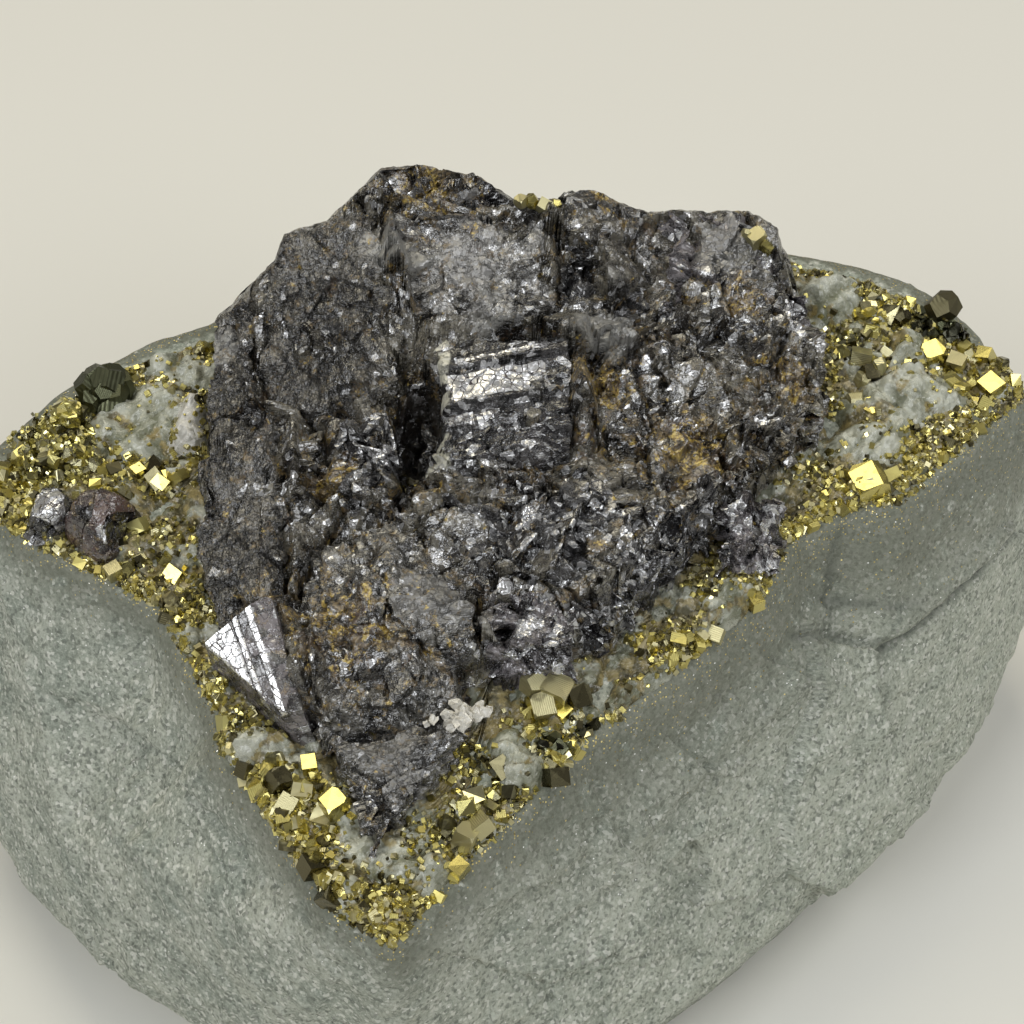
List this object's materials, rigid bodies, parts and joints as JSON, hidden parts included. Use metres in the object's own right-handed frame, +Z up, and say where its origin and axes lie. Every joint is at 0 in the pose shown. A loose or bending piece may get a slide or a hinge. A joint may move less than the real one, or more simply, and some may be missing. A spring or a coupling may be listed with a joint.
{
  "type": "sphalerite specimen",
  "caption": "Chunk of grey-green host rock with a vein face of dark sphalerite crystals, brassy pyrite and milky quartz; stands on its flat underside.",
  "frame": {"origin": "middle of the bounding box in plan, on the flat underside of the stone, at the surface it stands on", "axes": "+Z up, out of the crystal-covered face; +X along the longest side, towards the right corner of the crystal face; -Y towards the pointed front of the crystal face"},
  "size_m": [0.0956, 0.069, 0.0503],
  "materials": {
    "host_rock": "rough, fine-grained",
    "sphalerite": "resinous to metallic, cleaved and sparkling",
    "pyrite": "metallic, brass-yellow crystal faces",
    "quartz": "milky, sugary"
  },
  "bodies": {
    "root": {"host_rock": "host_rock", "pyrite_bright_front": "pyrite", "pyrite_bright_right": "pyrite", "pyrite_bubbly_cluster": "pyrite", "pyrite_corner_crystal": "pyrite", "pyrite_cube_row": "pyrite", "pyrite_dark_ball": "pyrite", "pyrite_dark_crystals": "pyrite", "pyrite_edge_grains": "pyrite", "pyrite_front_left_blocks": "pyrite", "pyrite_front_left_cubes": "pyrite", "pyrite_gold_crust": "pyrite", "pyrite_gold_cube": "pyrite", "pyrite_left_band": "pyrite", "pyrite_left_inner": "pyrite", "pyrite_left_tip": "pyrite", "pyrite_right_crust": "pyrite", "pyrite_right_cubes": "pyrite", "pyrite_right_inner": "pyrite", "pyrite_right_tip": "pyrite", "pyrite_right_top": "pyrite", "pyrite_striated_fan": "pyrite", "pyrite_tip_crust": "pyrite", "pyrite_tip_left": "pyrite", "quartz_back_right": "quartz", "quartz_front_left": "quartz", "quartz_front_pocket": "quartz", "quartz_front_right": "quartz", "quartz_left_back": "quartz", "quartz_left_patch": "quartz", "quartz_right_floor": "quartz", "quartz_right_hollow": "quartz", "quartz_right_lower": "quartz", "quartz_right_upper": "quartz", "quartz_tip_right": "quartz", "quartz_white_vein": "quartz", "sphalerite_back_left_block": "sphalerite", "sphalerite_back_ridge": "sphalerite", "sphalerite_back_right_plate": "sphalerite", "sphalerite_black_crystal": "sphalerite", "sphalerite_centre_crystal": "sphalerite", "sphalerite_centre_ledge": "sphalerite", "sphalerite_front_dome": "sphalerite", "sphalerite_front_right_block": "sphalerite", "sphalerite_front_tongue": "sphalerite", "sphalerite_grey_plate": "sphalerite", "sphalerite_hollow_block": "sphalerite", "sphalerite_left_block": "sphalerite", "sphalerite_left_flank": "sphalerite", "sphalerite_right_block": "sphalerite", "sphalerite_right_ledge": "sphalerite", "sphalerite_right_upper_block": "sphalerite", "sphalerite_round_crystal": "sphalerite", "sphalerite_striated_crystal": "sphalerite", "sphalerite_summit": "sphalerite", "sphalerite_tip_crystal": "sphalerite", "sphalerite_twin_crystal": "sphalerite", "sphalerite_upper_ledge": "sphalerite", "sphalerite_violet_plate": "sphalerite"}
  },
  "joints": []
}
